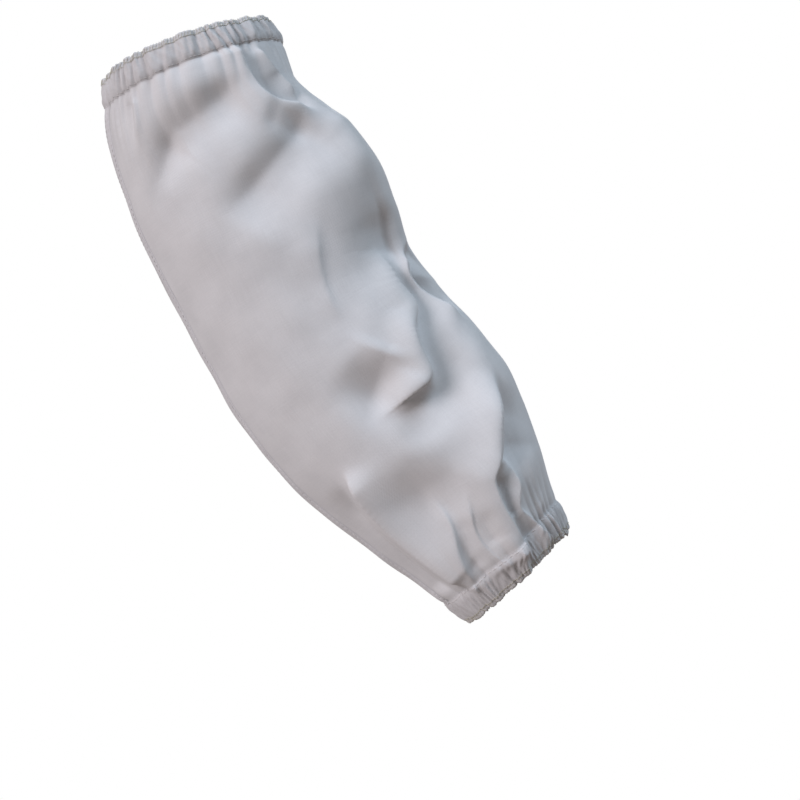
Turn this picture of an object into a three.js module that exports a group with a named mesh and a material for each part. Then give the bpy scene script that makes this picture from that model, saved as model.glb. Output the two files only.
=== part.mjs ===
// A welder's protective over-sleeve in grey flame-retardant cotton, in the shape it takes on a
// slightly bent arm. One panel of cloth is sewn into a tube with a felled seam down the outer
// side of the arm, and both mouths are drawn in by an elastic casing.
// Millimetres. +Z points up the arm, from the wrist mouth to the upper mouth. +X points to the
// crook of the elbow and -X to the outer side of the arm. -Y is the front, +Y the back. The
// origin is the centre of the upper mouth.
import * as THREE from "three";

// Driving dimensions
const mouthToMouth = 408; // straight line between the centres of the two mouths
const elbowBend = THREE.MathUtils.degToRad(23.4);
const halfGirth = 80; // half of the width across the arm, outer side to crook
const halfDepth = 56; // half of the depth from front to back
const crookFullness = 0.28; // 0 is an oval, and 1 has square corners on the side of the crook
const clothThickness = 1.2;
const upperCasingWidth = 18;
const wristCasingWidth = 20;
const casingThickness = 4; // two plies of cloth over the elastic
const hemThickness = 2.4; // the two plies alone, at the edges of a casing
const seamWidth = 10;
const seamMiddle = 0.045; // a share of the turn, forward of the outer side
const seamThickness = 1.2;
const pieceGap = 0.3; // clear of the neighbouring piece
const foldHeight = 14; // the heights of the folds are shares of it
const foldFlank = 36; // the flanks of the folds are shares of it
const gatherHeight = 2.4; // of the gathers beside a casing
const gatherReach = 30; // how far the gathers run out into the cloth
const stitchPull = 1.6; // how far the stitching draws the cloth in beside a casing

// How finely the curved cloth is faceted
const clothRows = 40;
const frontColumns = 42;
const backColumns = 18;
const seamColumns = 2;
const routeSteps = 40;

// Sections down the arm. along is a share of the length, outer and crook are shares of the
// half girth, and depth is a share of the half depth.
const sections = [
  { along: 0.0, outer: 0.715, crook: 0.69, depth: 0.98 },
  { along: 0.045, outer: 0.8, crook: 0.735, depth: 1.0 },
  { along: 0.1, outer: 0.89, crook: 0.735, depth: 1.02 },
  { along: 0.14, outer: 0.925, crook: 0.8, depth: 1.04 },
  { along: 0.18, outer: 0.945, crook: 0.905, depth: 1.05 },
  { along: 0.22, outer: 0.965, crook: 1.01, depth: 1.05 },
  { along: 0.3, outer: 0.98, crook: 1.07, depth: 1.05 },
  { along: 0.38, outer: 0.99, crook: 1.03, depth: 1.03 },
  { along: 0.46, outer: 1.01, crook: 0.935, depth: 1.0 },
  { along: 0.54, outer: 1.025, crook: 0.975, depth: 1.0 },
  { along: 0.62, outer: 1.0, crook: 1.03, depth: 1.0 },
  { along: 0.7, outer: 0.945, crook: 1.055, depth: 0.98 },
  { along: 0.78, outer: 0.845, crook: 0.985, depth: 0.93 },
  { along: 0.86, outer: 0.735, crook: 0.84, depth: 0.84 },
  { along: 0.94, outer: 0.63, crook: 0.64, depth: 0.68 },
  { along: 1.0, outer: 0.545, crook: 0.53, depth: 0.57 },
];

// Folds of the cloth. height is a share of foldHeight, negative in a hollow. ahead and behind
// are the widths of its two flanks, as shares of foldFlank: ahead lies towards the crook where
// the route runs down the arm. lean pushes the crest over the flank ahead, and sharp is higher
// where the fold is squarer in section. rise and fall are the shares of the route over which it
// grows and dies out, and front turns its lift from the cloth's own direction to the front. Each
// point of the route is a share along the sleeve and a share of the turn around it, from the
// outer side over the front.
const folds = [
  {
    name: "pocketLip", height: 0.45, ahead: 0.2, behind: 0.5, lean: 0.35, sharp: 1.7,
    rise: 0.1, fall: 0.3, front: 0,
    route: [[0.05, 0.33], [0.09, 0.34], [0.125, 0.345], [0.15, 0.35], [0.165, 0.365], [0.175, 0.39]],
  },
  {
    name: "pocketHollow", height: -0.55, ahead: 0.3, behind: 0.2, lean: 0, sharp: 2,
    rise: 0.3, fall: 0.2, front: 0,
    route: [[0.065, 0.37], [0.105, 0.38], [0.14, 0.385], [0.16, 0.405]],
  },
  {
    name: "hookHollow", height: -0.5, ahead: 0.55, behind: 0.25, lean: 0, sharp: 2,
    rise: 0.2, fall: 0.3, front: 0,
    route: [[0.11, 0.33], [0.12, 0.295], [0.13, 0.26], [0.14, 0.195], [0.165, 0.17], [0.205, 0.135]],
  },
  {
    name: "underCasing", height: 0.2, ahead: 0.35, behind: 0.35, lean: 0, sharp: 2,
    rise: 0.4, fall: 0.4, front: 0,
    route: [[0.075, 0.2], [0.08, 0.26], [0.08, 0.315]],
  },
  {
    name: "slashHollow", height: -0.5, ahead: 0.7, behind: 0.3, lean: 0, sharp: 2,
    rise: 0.1, fall: 0.35, front: 0,
    route: [[0.21, 0.365], [0.235, 0.32], [0.255, 0.285], [0.27, 0.25], [0.28, 0.225]],
  },
  {
    name: "puffCrest", height: 0.2, ahead: 0.35, behind: 0.4, lean: 0, sharp: 2,
    rise: 0.3, fall: 0.4, front: 0,
    route: [[0.19, 0.42], [0.235, 0.43], [0.295, 0.425], [0.36, 0.425]],
  },
  {
    name: "puffUnder", height: -0.85, ahead: 0.65, behind: 0.3, lean: 0, sharp: 2,
    rise: 0.5, fall: 0.2, front: 0.7,
    route: [[0.32, 0.385], [0.375, 0.37], [0.42, 0.38], [0.46, 0.395], [0.48, 0.415]],
  },
  {
    name: "plateau", height: -0.8, ahead: 0.4, behind: 0.95, lean: 0, sharp: 2.6,
    rise: 0.25, fall: 0.8, front: 0.7,
    route: [[0.345, 0.4], [0.405, 0.395], [0.465, 0.39], [0.52, 0.365], [0.565, 0.335]],
  },
  {
    name: "rollEdge", height: 0.25, ahead: 0.25, behind: 0.3, lean: 0.2, sharp: 2,
    rise: 0.3, fall: 0.1, front: 0,
    route: [[0.39, 0.365], [0.45, 0.37], [0.55, 0.355], [0.595, 0.325], [0.645, 0.3], [0.65, 0.26]],
  },
  {
    name: "rollGutter", height: -0.35, ahead: 0.3, behind: 0.3, lean: 0, sharp: 2,
    rise: 0.25, fall: 0.3, front: 0.6,
    route: [[0.445, 0.4], [0.48, 0.41], [0.515, 0.405], [0.55, 0.4], [0.58, 0.37], [0.615, 0.355]],
  },
  {
    name: "rollDent", height: -0.8, ahead: 0.8, behind: 0.5, lean: 0, sharp: 2,
    rise: 0.25, fall: 0.45, front: 0.4,
    route: [[0.635, 0.295], [0.62, 0.265], [0.605, 0.24], [0.585, 0.225]],
  },
  {
    name: "bowl", height: -0.5, ahead: 0.3, behind: 0.5, lean: 0, sharp: 2,
    rise: 0.25, fall: 0.25, front: 0.8,
    route: [[0.61, 0.35], [0.655, 0.35], [0.69, 0.335], [0.71, 0.31], [0.71, 0.275], [0.69, 0.245]],
  },
  {
    name: "crookLip", height: 0.2, ahead: 0.2, behind: 0.35, lean: 0.35, sharp: 1.8,
    rise: 0.2, fall: 0.2, front: 0,
    route: [[0.46, 0.43], [0.51, 0.405], [0.545, 0.41], [0.61, 0.435]],
  },
  {
    name: "crookCleft", height: -0.4, ahead: 0.2, behind: 0.2, lean: 0, sharp: 2,
    rise: 0.1, fall: 0.2, front: 0,
    route: [[0.465, 0.455], [0.495, 0.435], [0.555, 0.435], [0.61, 0.47]],
  },
  {
    name: "smile", height: 0.2, ahead: 0.2, behind: 0.3, lean: 0, sharp: 2,
    rise: 0.3, fall: 0.3, front: 0.4,
    route: [[0.71, 0.225], [0.73, 0.24], [0.74, 0.265], [0.745, 0.295], [0.735, 0.325], [0.715, 0.35]],
  },
  {
    name: "underSmile", height: -0.65, ahead: 0.55, behind: 0.7, lean: 0, sharp: 2,
    rise: 0.4, fall: 0.4, front: 0,
    route: [[0.78, 0.18], [0.81, 0.215], [0.815, 0.265]],
  },
  {
    name: "crookRidge", height: 0.4, ahead: 0.3, behind: 0.4, lean: 0.1, sharp: 1.8,
    rise: 0.25, fall: 0.05, front: 0.2,
    route: [[0.7, 0.4], [0.74, 0.365], [0.78, 0.33], [0.815, 0.305], [0.86, 0.29], [0.95, 0.295]],
  },
  {
    name: "crookHollow", height: -0.6, ahead: 0.6, behind: 0.35, lean: 0, sharp: 2,
    rise: 0.3, fall: 0.3, front: 0.8,
    route: [[0.715, 0.42], [0.765, 0.38], [0.8, 0.35], [0.84, 0.335], [0.875, 0.33], [0.905, 0.34]],
  },
  {
    name: "leaf", height: 0.25, ahead: 0.25, behind: 0.25, lean: 0.2, sharp: 1.7,
    rise: 0.15, fall: 0.05, front: 0,
    route: [[0.83, 0.32], [0.86, 0.335], [0.89, 0.34], [0.91, 0.335], [0.94, 0.35], [0.975, 0.365]],
  },
  {
    name: "rimRidge", height: 0.2, ahead: 0.2, behind: 0.2, lean: 0.3, sharp: 1.8,
    rise: 0.3, fall: 0.05, front: 0,
    route: [[0.915, 0.415], [0.94, 0.38], [0.98, 0.395]],
  },
  {
    name: "undersideRidge", height: 0.6, ahead: 0.4, behind: 0.25, lean: -0.2, sharp: 1.8,
    rise: 0.4, fall: 0.05, front: 0.8,
    route: [[0.78, 0.125], [0.825, 0.13], [0.88, 0.125], [0.935, 0.15]],
  },
  {
    name: "undersideHollow", height: -0.3, ahead: 0.2, behind: 0.2, lean: 0, sharp: 2,
    rise: 0.4, fall: 0.1, front: 0.4,
    route: [[0.825, 0.095], [0.875, 0.095], [0.92, 0.105]],
  },
  {
    name: "firstPleat", height: 0.3, ahead: 0.2, behind: 0.25, lean: 0.35, sharp: 1.8,
    rise: 0.25, fall: 0.05, front: 0,
    route: [[0.805, 0.205], [0.83, 0.22], [0.86, 0.22], [0.9, 0.2], [0.935, 0.18], [0.965, 0.16]],
  },
  {
    name: "firstHollow", height: -0.2, ahead: 0.2, behind: 0.2, lean: 0, sharp: 2,
    rise: 0.3, fall: 0.1, front: 0,
    route: [[0.845, 0.24], [0.875, 0.235], [0.915, 0.22], [0.945, 0.205]],
  },
  {
    name: "secondPleat", height: 0.25, ahead: 0.2, behind: 0.2, lean: 0.35, sharp: 1.8,
    rise: 0.3, fall: 0.05, front: 0,
    route: [[0.825, 0.27], [0.865, 0.26], [0.905, 0.24], [0.935, 0.24], [0.96, 0.24]],
  },
  {
    name: "secondHollow", height: -0.2, ahead: 0.2, behind: 0.2, lean: 0, sharp: 2,
    rise: 0.3, fall: 0.1, front: 0,
    route: [[0.855, 0.29], [0.89, 0.28], [0.93, 0.265]],
  },
];

// Gathers drawn up by each elastic casing. count is how many lie around the sleeve, and each
// sway, as turns around, phase and size, makes their spacing uneven.
const upperGathers = {
  count: 15,
  sways: [
    { turns: 2, phase: 0.3, size: 1.3 },
    { turns: 4, phase: 1.0, size: 0.9 },
  ],
};
const wristGathers = {
  count: 12,
  sways: [
    { turns: 3, phase: 0.3, size: 1.3 },
    { turns: 4, phase: 2.0, size: 0.9 },
  ],
};

// The middle line of the sleeve is an arc that bows out to the outer side of the arm.
const arcRadius = mouthToMouth / (2 * Math.sin(elbowBend / 2));
const sleeveLength = arcRadius * elbowBend;
const halfChordHeight = arcRadius * Math.cos(elbowBend / 2);

const fabric = new THREE.MeshStandardMaterial({ color: 0xbdbbc0, roughness: 0.92, metalness: 0 });
const seamFabric = new THREE.MeshStandardMaterial({ color: 0xb3b0b6, roughness: 0.94, metalness: 0 });
const casingFabric = new THREE.MeshStandardMaterial({ color: 0xb5b1b4, roughness: 0.94, metalness: 0 });

const lerp = THREE.MathUtils.lerp;
const smoothStep = (share) => THREE.MathUtils.smoothstep(share, 0, 1);

// A monotone cubic through one column of the sections, so that no bulge is added between rows.
function sectionCurve(column) {
  const steps = sections.slice(1).map((row, i) => row.along - sections[i].along);
  const slopes = steps.map((step, i) => (sections[i + 1][column] - sections[i][column]) / step);
  const tangents = sections.map((row, i) => {
    if (i === 0) return slopes[0];
    if (i === slopes.length) return slopes[i - 1];
    if (slopes[i - 1] * slopes[i] <= 0) return 0;
    const before = 2 * steps[i] + steps[i - 1];
    const after = steps[i] + 2 * steps[i - 1];
    return (before + after) / (before / slopes[i - 1] + after / slopes[i]);
  });
  return (along) => {
    let row = sections.findIndex((section) => section.along > along) - 1;
    if (row === -2) row = steps.length - 1;
    if (row < 0) row = 0;
    const t = (along - sections[row].along) / steps[row];
    const start = sections[row][column];
    const end = sections[row + 1][column];
    return (
      (2 * t ** 3 - 3 * t ** 2 + 1) * start +
      (t ** 3 - 2 * t ** 2 + t) * steps[row] * tangents[row] +
      (-2 * t ** 3 + 3 * t ** 2) * end +
      (t ** 3 - t ** 2) * steps[row] * tangents[row + 1]
    );
  };
}
const outerAt = sectionCurve("outer");
const crookAt = sectionCurve("crook");
const depthAt = sectionCurve("depth");

// The unfolded cloth. along runs from 0 at the upper mouth to 1 at the wrist, and turn once
// around, from 0 on the outer side over the front, 0.5 at the crook, and back over the back.
function plainPoint(along, turn) {
  const bend = elbowBend * (along - 0.5);
  const outer = outerAt(along) * halfGirth;
  const crook = crookAt(along) * halfGirth;
  const angle = 2 * Math.PI * turn;
  const across = (crook - outer) / 2 - ((crook + outer) / 2) * Math.cos(angle);
  const fullness = crookFullness * smoothStep(along / 0.15) * smoothStep((1 - along) / 0.12);
  const power = Math.cos(angle) < 0 ? 1 - fullness : 1;
  const front = Math.sign(Math.sin(angle)) * Math.abs(Math.sin(angle)) ** power;
  return new THREE.Vector3(
    halfChordHeight - arcRadius * Math.cos(bend) + Math.cos(bend) * across,
    -depthAt(along) * halfDepth * front,
    -arcRadius * Math.sin(bend) - arcRadius * Math.sin(elbowBend / 2) + Math.sin(bend) * across,
  );
}

// The outward direction of the unfolded cloth
function plainNormal(along, turn) {
  const step = 1e-3;
  const down = plainPoint(along + step, turn).sub(plainPoint(along - step, turn));
  const around = plainPoint(along, turn + step).sub(plainPoint(along, turn - step));
  return down.cross(around).normalize();
}

// Each fold's route as points on the cloth, with the directions there
const routes = folds.map((fold) => {
  const curve = new THREE.CatmullRomCurve3(
    fold.route.map(([along, turn]) => new THREE.Vector3(along, turn, 0)),
    false,
    "catmullrom",
    0.5,
  );
  const spots = Array.from({ length: routeSteps + 1 }, (_, i) => curve.getPoint(i / routeSteps));
  const points = spots.map((spot) => plainPoint(spot.x, spot.y));
  return points.map((point, i) => {
    const before = points[Math.max(i - 1, 0)];
    const after = points[Math.min(i + 1, routeSteps)];
    const way = after.clone().sub(before).normalize();
    const ahead = plainNormal(spots[i].x, spots[i].y).cross(way).normalize();
    return { point, ahead, share: i / routeSteps };
  });
});

// How far one fold moves the cloth at a point of it
function foldMove(fold, route, point, normal) {
  const ahead = fold.ahead * foldFlank;
  const behind = fold.behind * foldFlank;
  const soft = (0.25 * Math.max(ahead, behind)) ** 2 + 1;
  const squares = route.map((spot) => spot.point.distanceToSquared(point));
  const nearest = Math.min(...squares);
  if (nearest > (2.6 * Math.max(ahead, behind)) ** 2) return new THREE.Vector3();
  let total = 0;
  let share = 0;
  const centre = new THREE.Vector3();
  const sideways = new THREE.Vector3();
  route.forEach((spot, i) => {
    const weight = Math.exp(-(squares[i] - nearest) / soft);
    total += weight;
    share += weight * spot.share;
    centre.addScaledVector(spot.point, weight);
    sideways.addScaledVector(spot.ahead, weight);
  });
  share /= total;
  centre.divideScalar(total);
  sideways.normalize();
  const side = point.clone().sub(centre).dot(sideways);
  const flank = lerp(behind, ahead, smoothStep(0.5 + side / (0.5 * (ahead + behind))));
  const taper = smoothStep(share / fold.rise) * smoothStep((1 - share) / fold.fall);
  const lift = fold.height * foldHeight * taper * Math.exp(-((Math.sqrt(nearest) / flank) ** fold.sharp));
  const way = normal.clone().lerp(new THREE.Vector3(0, -1, 0), fold.front);
  return way.multiplyScalar(lift).addScaledVector(sideways, fold.lean * lift);
}

// Rounded ridges with sharp valleys, about as high as they are deep
function gatherWave(gathers, turn) {
  const sway = gathers.sways.reduce(
    (sum, wave) => sum + wave.size * Math.sin(2 * Math.PI * wave.turns * turn + wave.phase),
    0,
  );
  return Math.sqrt(Math.cos(Math.PI * gathers.count * turn + sway / 2) ** 2 + 0.03) - 0.64;
}

// Gathers and the pull of the stitching, both dying out away from the casings
function gatherLift(along, turn) {
  const belowUpper = Math.max(along * sleeveLength - upperCasingWidth, 0);
  const aboveWrist = Math.max((1 - along) * sleeveLength - wristCasingWidth, 0);
  const upper = Math.exp(-belowUpper / gatherReach) * gatherWave(upperGathers, turn);
  const wrist = Math.exp(-aboveWrist / gatherReach) * gatherWave(wristGathers, turn);
  const upperPull = Math.exp(-((belowUpper / casingThickness) ** 2));
  const wristPull = Math.exp(-((aboveWrist / casingThickness) ** 2));
  return gatherHeight * (upper + wrist) - stitchPull * (upperPull + wristPull);
}

// The outer face of the cloth
function clothPoint(along, turn) {
  const point = plainPoint(along, turn);
  const normal = plainNormal(along, turn);
  const moved = point.clone().addScaledVector(normal, gatherLift(along, turn));
  folds.forEach((fold, i) => moved.add(foldMove(fold, routes[i], point, normal)));
  return moved;
}

// A closed solid from rings of points, first down its outer face and then back up its inner
// one. The inner face is split along the same diagonals as the outer one, so a wall stays even.
function ringSolid(rings, closedColumns) {
  const columns = rings[0].length;
  const positions = rings.flat().flatMap((point) => point.toArray());
  const index = [];
  const at = (ring, column) => (ring % rings.length) * columns + (column % columns);
  const lastColumn = closedColumns ? columns : columns - 1;
  for (let ring = 0; ring < rings.length; ring++) {
    for (let column = 0; column < lastColumn; column++) {
      const near = [at(ring, column), at(ring, column + 1)];
      const next = [at(ring + 1, column), at(ring + 1, column + 1)];
      const corners = [near[0], next[0], next[1], near[1]];
      if (ring >= rings.length / 2) corners.push(corners.shift());
      index.push(corners[0], corners[1], corners[2], corners[0], corners[2], corners[3]);
    }
  }
  if (!closedColumns) {
    for (const column of [0, columns - 1]) {
      for (let ring = 0; ring < rings.length / 2 - 1; ring++) {
        const far = rings.length - 1 - ring;
        const corners = [at(ring, column), at(ring + 1, column), at(far - 1, column), at(far, column)];
        if (column === 0) corners.reverse();
        index.push(corners[0], corners[1], corners[2], corners[0], corners[2], corners[3]);
      }
    }
  }
  const geometry = new THREE.BufferGeometry();
  geometry.setAttribute("position", new THREE.Float32BufferAttribute(positions, 3));
  geometry.setIndex(index);
  geometry.computeVertexNormals();
  return geometry;
}

// The columns around the sleeve: the seam's own first, then the front and the back
const seamTurn = seamWidth / (Math.PI * (halfGirth + halfDepth));
const seamStart = seamMiddle - seamTurn / 2;
const seamEnd = seamMiddle + seamTurn / 2;
const spreadTurns = (count, from, to) => Array.from({ length: count }, (_, i) => lerp(from, to, i / count));
const columnTurns = [
  ...spreadTurns(seamColumns, seamStart, seamEnd),
  ...spreadTurns(frontColumns - seamColumns, seamEnd, 0.5),
  ...spreadTurns(backColumns, 0.5, 1 + seamStart),
];

// The outward direction at each point of a grid of points that closes around the sleeve
function gridNormals(grid) {
  const columns = grid[0].length;
  return grid.map((row, r) =>
    row.map((_, c) => {
      const down = grid[Math.min(r + 1, grid.length - 1)][c].clone().sub(grid[Math.max(r - 1, 0)][c]);
      const around = row[(c + 1) % columns].clone().sub(row[(c + columns - 1) % columns]);
      return down.cross(around).normalize();
    }),
  );
}

const offsetRow = (row, normals, distance) =>
  row.map((point, c) => point.clone().addScaledVector(normals[c], distance));

// The tube of cloth between the casings
const clothStart = (upperCasingWidth + pieceGap) / sleeveLength;
const clothEnd = 1 - (wristCasingWidth + pieceGap) / sleeveLength;
const clothGrid = Array.from({ length: clothRows }, (_, r) => {
  const along = lerp(clothStart, clothEnd, r / (clothRows - 1));
  return columnTurns.map((turn) => clothPoint(along, turn));
});
const clothNormals = gridNormals(clothGrid);
const innerGrid = clothGrid.map((row, r) => offsetRow(row, clothNormals[r], -clothThickness));
const sleevePanel = new THREE.Mesh(ringSolid([...clothGrid, ...innerGrid.reverse()], true), fabric);
sleevePanel.name = "sleeve_panel";

// The felled seam lies on the cloth's outer face, over the columns that it has to itself.
function makeSeam() {
  const rows = clothGrid.slice(1, -1);
  const rings = [];
  const seamRow = (r, distance) =>
    offsetRow(rows[r].slice(0, seamColumns + 1), clothNormals[r + 1].slice(0, seamColumns + 1), distance);
  for (let r = 0; r < rows.length; r++) rings.push(seamRow(r, pieceGap + seamThickness));
  for (let r = rows.length - 1; r >= 0; r--) rings.push(seamRow(r, pieceGap));
  return ringSolid(rings, false);
}
const sideSeam = new THREE.Mesh(makeSeam(), seamFabric);
sideSeam.name = "side_seam";

// A casing's section, as shares of its width from the cloth to the mouth and, outwards, of its
// thickness. It thins to the bare hem at the mouth.
function makeCasing(gathers, clothAlong, mouthAlong) {
  const hem = hemThickness / casingThickness / 2;
  const profile = [
    { across: 0, out: 0.34 },
    { across: 0.3, out: 0.5 },
    { across: 0.7, out: 0.5 },
    { across: 1, out: hem },
    { across: 1, out: -hem },
    { across: 0.6, out: -0.5 },
    { across: 0, out: -0.34 },
  ];
  const rings = profile.map(({ across, out }) =>
    columnTurns.map((turn) => {
      const along = lerp(clothAlong, mouthAlong, across);
      const ridge = out > 0 ? gatherHeight * gatherWave(gathers, turn) : 0;
      const pull = stitchPull * (1 - smoothStep(across / 0.3));
      const height = out * casingThickness + ridge - pull;
      return plainPoint(along, turn).addScaledVector(plainNormal(along, turn), height);
    }),
  );
  return ringSolid(mouthAlong > clothAlong ? rings : rings.reverse(), true);
}
const upperCasingSolid = makeCasing(upperGathers, upperCasingWidth / sleeveLength, 0);
const upperCasing = new THREE.Mesh(upperCasingSolid, casingFabric);
upperCasing.name = "upper_casing";
const wristCasingSolid = makeCasing(wristGathers, 1 - wristCasingWidth / sleeveLength, 1);
const wristCasing = new THREE.Mesh(wristCasingSolid, casingFabric);
wristCasing.name = "wrist_casing";

const weldingSleeve = new THREE.Group();
weldingSleeve.add(sleevePanel, sideSeam, upperCasing, wristCasing);
export default weldingSleeve;
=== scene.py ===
import math

import bpy
import numpy as np
from mathutils import Matrix, Vector


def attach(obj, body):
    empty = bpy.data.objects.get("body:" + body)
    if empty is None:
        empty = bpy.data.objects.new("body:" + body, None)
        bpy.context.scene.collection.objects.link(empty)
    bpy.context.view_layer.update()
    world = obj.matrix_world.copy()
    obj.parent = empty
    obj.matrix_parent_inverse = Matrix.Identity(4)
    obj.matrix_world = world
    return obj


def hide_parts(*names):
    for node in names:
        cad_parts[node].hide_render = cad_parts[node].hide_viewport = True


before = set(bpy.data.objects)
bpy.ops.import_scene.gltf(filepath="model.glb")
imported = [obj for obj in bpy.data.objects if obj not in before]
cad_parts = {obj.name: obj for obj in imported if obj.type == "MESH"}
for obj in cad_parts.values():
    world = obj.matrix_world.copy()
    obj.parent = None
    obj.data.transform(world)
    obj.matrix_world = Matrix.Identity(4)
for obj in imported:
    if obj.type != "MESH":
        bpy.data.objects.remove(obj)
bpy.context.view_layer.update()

# A welder's protective sleeve in grey flame-retardant cotton, drawn in at both mouths.
# The maths below is in millimetres, in the frame of the part: +Z up the arm, +X to the crook
# of the elbow, -Y to the front. Meshes are made in metres.

sleeveForm = {
    "mouthToMouth": 408,
    "elbowBend": 23.4,  # degrees
    "halfGirth": 80,
    "halfDepth": 56,
    "crookSquareness": 0.33,  # the crook side is fuller than an oval between the mouths
    "clothThickness": 1.2,
    "upperCasingWidth": 18,
    "wristCasingWidth": 20,
    "stitchPull": 0.6,
}

# Down the arm: share of the length, then shares of the half girth to the outer side and to the
# crook, and of the half depth.
sectionRows = np.array([
    (0.0, 0.715, 0.69, 0.98),
    (0.045, 0.8, 0.735, 1.0),
    (0.1, 0.89, 0.735, 1.02),
    (0.14, 0.925, 0.8, 1.04),
    (0.18, 0.945, 0.905, 1.05),
    (0.22, 0.965, 1.01, 1.05),
    (0.3, 0.98, 1.07, 1.05),
    (0.38, 0.99, 1.03, 1.03),
    (0.46, 1.01, 0.935, 1.0),
    (0.54, 1.025, 0.975, 1.0),
    (0.62, 1.0, 1.03, 1.0),
    (0.7, 0.945, 1.055, 0.98),
    (0.78, 0.845, 0.985, 0.93),
    (0.86, 0.735, 0.84, 0.84),
    (0.94, 0.63, 0.64, 0.68),
    (1.0, 0.545, 0.53, 0.57),
])

bend = math.radians(sleeveForm["elbowBend"])
arcRadius = sleeveForm["mouthToMouth"] / (2 * math.sin(bend / 2))
sleeveLength = arcRadius * bend
clothGirth = math.pi * (sleeveForm["halfGirth"] + sleeveForm["halfDepth"])


def smoothStep(x):
    x = np.clip(x, 0, 1)
    return x * x * (3 - 2 * x)


# A smooth curve through one column of the section rows, with no overshoot.
def sectionCurve(column, along):
    at, values = sectionRows[:, 0], sectionRows[:, column]
    step = np.diff(at)
    rise = np.diff(values) / step
    slope = np.zeros_like(values)
    slope[0], slope[-1] = rise[0], rise[-1]
    for i in range(1, len(at) - 1):
        if rise[i - 1] * rise[i] > 0:
            before, after = 2 * step[i] + step[i - 1], step[i] + 2 * step[i - 1]
            slope[i] = (before + after) / (before / rise[i - 1] + after / rise[i])
    k = np.clip(np.searchsorted(at, along, side="right") - 1, 0, len(step) - 1)
    t = (along - at[k]) / step[k]
    return (
        (2 * t**3 - 3 * t**2 + 1) * values[k]
        + (t**3 - 2 * t**2 + t) * step[k] * slope[k]
        + (3 * t**2 - 2 * t**3) * values[k + 1]
        + (t**3 - t**2) * step[k] * slope[k + 1]
    )


# The sleeve before its folds. turn 0 is the outer side, 0.25 the front, 0.5 the crook.
def plainPoint(along, turn):
    along, turn = np.broadcast_arrays(np.asarray(along, float), np.asarray(turn, float))
    angle = bend * (along - 0.5)
    outer, crook, depth = (sectionCurve(c, along) for c in (1, 2, 3))
    cos, sin = -np.cos(2 * np.pi * turn), -np.sin(2 * np.pi * turn)
    across = sleeveForm["halfGirth"] * ((crook - outer) / 2 + (crook + outer) / 2 * cos)
    middle = smoothStep(along / 0.15) * smoothStep((1 - along) / 0.12)
    power = np.where(cos > 0, 1.05 - sleeveForm["crookSquareness"] * middle, 1.05)
    out = sleeveForm["halfDepth"] * depth * np.sign(sin) * np.abs(sin) ** power
    x = arcRadius * (math.cos(bend / 2) - np.cos(angle)) + np.cos(angle) * across
    z = -arcRadius * (np.sin(angle) + math.sin(bend / 2)) + np.sin(angle) * across
    return np.stack([x, out, z], -1)


def plainNormal(along, turn):
    e = 1e-3
    down = plainPoint(along + e, turn) - plainPoint(along - e, turn)
    around = plainPoint(along, turn + e) - plainPoint(along, turn - e)
    out = np.cross(down, around)
    return out / np.linalg.norm(out, axis=-1, keepdims=True)


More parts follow.
